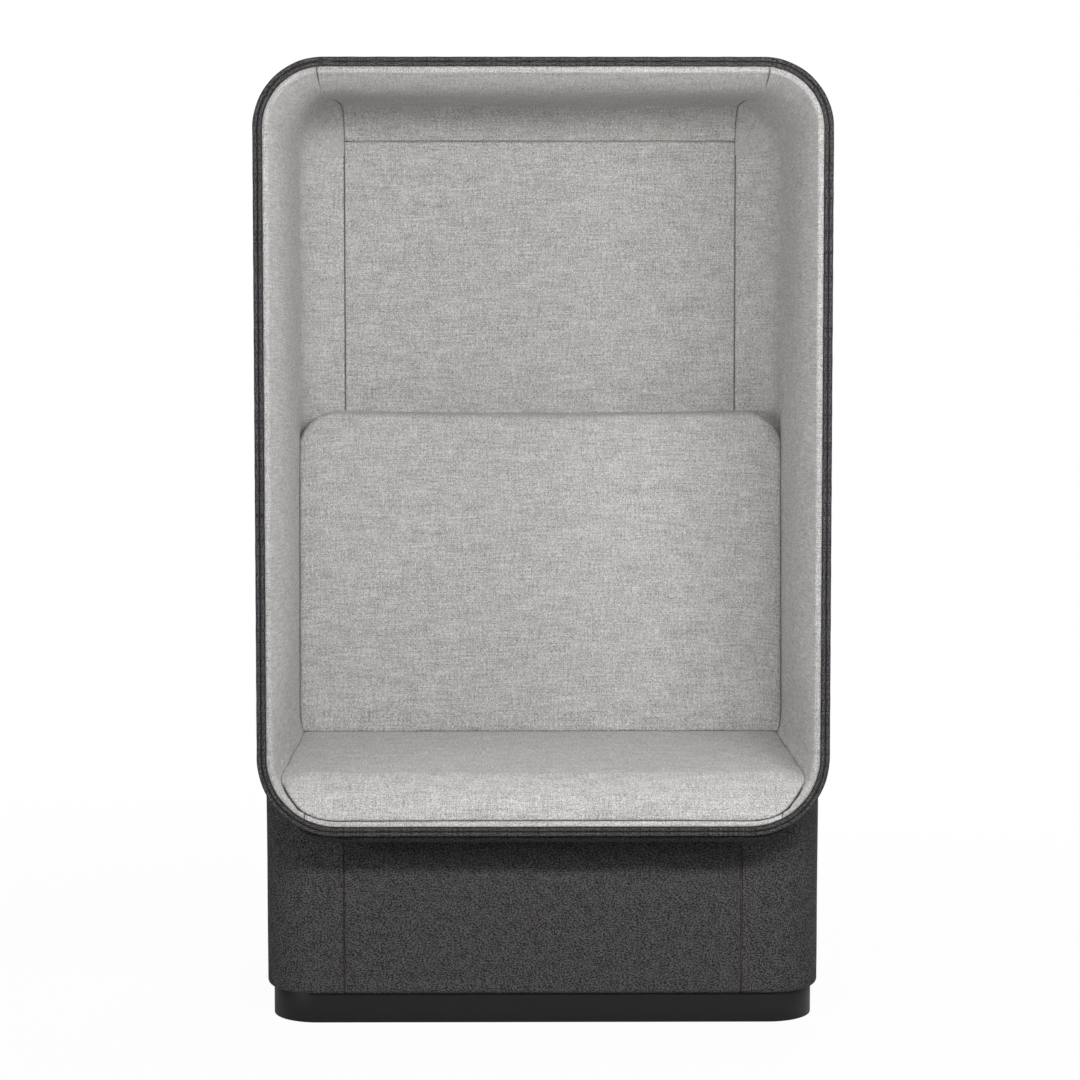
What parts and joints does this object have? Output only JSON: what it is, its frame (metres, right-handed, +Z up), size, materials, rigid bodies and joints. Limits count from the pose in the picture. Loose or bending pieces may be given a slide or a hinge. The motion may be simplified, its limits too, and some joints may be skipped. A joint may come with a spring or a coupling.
{
  "type": "high back lounge chair",
  "caption": "High back lounge chair with a rounded sound absorbing tub, light wool lining and cushions, dark felt outside and rim, upholstered base, black plinth and levelling feet.",
  "frame": {"origin": "on the floor, under the middle of the chair's overall box", "axes": "+Z up, -Y out of the tub's opening, +X to the right of someone facing the chair"},
  "size_m": [0.9, 0.7785, 1.5432],
  "materials": {
    "felt": "charcoal melange wool felt, matt with short pale fibres",
    "wool": "light grey melange woven wool, fine crossed threads, matt",
    "foam": "cream upholstery foam",
    "board": "raw birch plywood",
    "plinth": "satin black laminate",
    "steel": "zinc plated steel",
    "foot_plastic": "black moulded nylon",
    "webbing": "dark woven elastic webbing"
  },
  "bodies": {
    "chair": {"plinth": "plinth", "foot_blocks": "board", "foot_inserts": "steel", "block_screws": "steel", "base_floor": "board", "base_rail_front": "board", "base_rail_back": "board", "base_rail_left": "board", "base_rail_right": "board", "base_posts_front": "board", "base_posts_back": "board", "base_deck": "board", "cradle_left": "board", "cradle_right": "board", "cradle_back": "board", "base_felt_front": "felt", "base_felt_left": "felt", "base_felt_right": "felt", "base_felt_back": "felt", "shell_floor": "board", "shell_left": "board", "shell_right": "board", "shell_top": "board", "shell_back": "board", "felt_floor": "felt", "felt_left": "felt", "felt_right": "felt", "felt_top": "felt", "felt_back": "felt", "foam_floor": "foam", "foam_left": "foam", "foam_right": "foam", "foam_top": "foam", "foam_back": "foam", "lining_floor": "wool", "lining_left": "wool", "lining_right": "wool", "lining_top": "wool", "lining_back": "wool", "rim_welt_outer": "felt", "rim_welt_inner": "felt", "rim_lining_roll": "wool", "under_rim_roll": "felt", "tub_bolts": "steel", "tub_washers": "steel", "tub_nuts": "steel", "seat_straps": "webbing", "seat_grip_strips": "webbing", "seat_cushion_board": "board", "seat_cushion": "wool", "back_grip_strips": "webbing", "back_cushion_board": "board", "back_cushion": "wool"},
    "foot_front_left": {"foot_front_left": "foot_plastic"},
    "foot_front_right": {"foot_front_right": "foot_plastic"},
    "foot_back_left": {"foot_back_left": "foot_plastic"},
    "foot_back_right": {"foot_back_right": "foot_plastic"}
  },
  "joints": [
    {"name": "foot_front_left_screw", "type": "slide", "parent": "chair", "child": "foot_front_left", "axis": [0, 0, -1], "range_m": [0, 0.01]},
    {"name": "foot_front_right_screw", "type": "slide", "parent": "chair", "child": "foot_front_right", "axis": [0, 0, -1], "range_m": [0, 0.01]},
    {"name": "foot_back_left_screw", "type": "slide", "parent": "chair", "child": "foot_back_left", "axis": [0, 0, -1], "range_m": [0, 0.01]},
    {"name": "foot_back_right_screw", "type": "slide", "parent": "chair", "child": "foot_back_right", "axis": [0, 0, -1], "range_m": [0, 0.01]}
  ]
}
